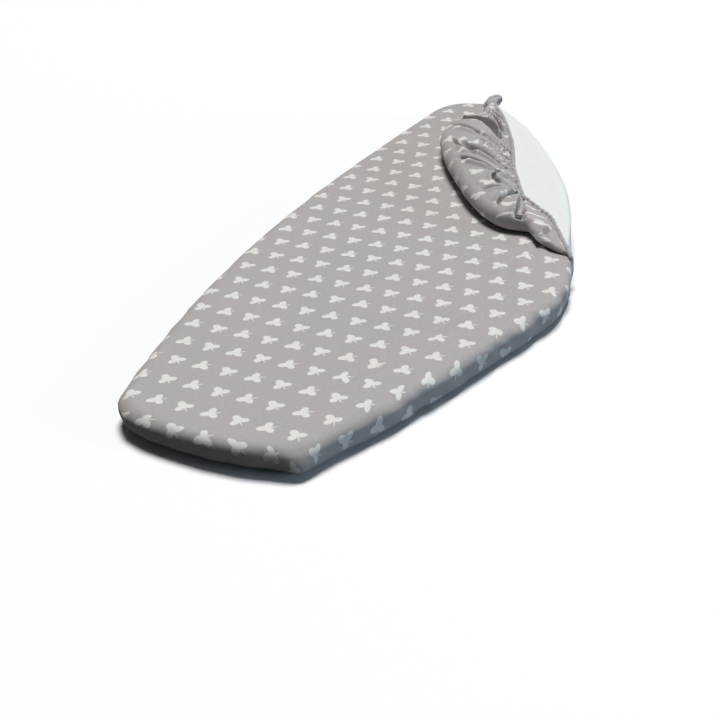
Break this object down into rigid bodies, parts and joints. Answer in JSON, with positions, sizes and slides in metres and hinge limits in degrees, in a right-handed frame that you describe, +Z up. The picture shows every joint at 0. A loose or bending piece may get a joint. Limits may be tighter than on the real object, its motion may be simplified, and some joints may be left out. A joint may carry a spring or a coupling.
{
  "type": "ironing board cover",
  "caption": "Padded ironing board cover with an elastic hem, one corner of the wide end turned back over the printed top.",
  "frame": {"origin": "under the middle of the whole cover's box, on the plane that the skirt lies on", "axes": "+X from the nose to the wide end, +Y towards the side that keeps its corner, +Z up through the printed top"},
  "size_m": [1.0456, 0.4536, 0.0696],
  "materials": {
    "printed_cloth": "plain cotton weave, taupe grey with small off-white motifs",
    "wadding": "soft polyester wadding",
    "lining": "cool white felted backing",
    "hem_cloth": "turned and stitched hem of the printed cotton",
    "elastic": "braided round elastic"
  },
  "bodies": {
    "cover": {"cover_cloth": "printed_cloth", "cover_wadding": "wadding", "cover_lining": "lining", "cover_hem_casing": "hem_cloth", "cover_elastic": "elastic"},
    "turned_corner": {"corner_cloth": "printed_cloth", "corner_wadding": "wadding", "corner_lining": "lining", "corner_hem_casing": "hem_cloth", "corner_elastic": "elastic"}
  },
  "joints": [
    {"name": "corner_fold", "type": "hinge", "parent": "cover", "child": "turned_corner", "pos_m": [-0.01743, -0.22067, 0.03515], "axis": [0.8273, 0.5618, 0], "range_deg": [0, 180]}
  ]
}
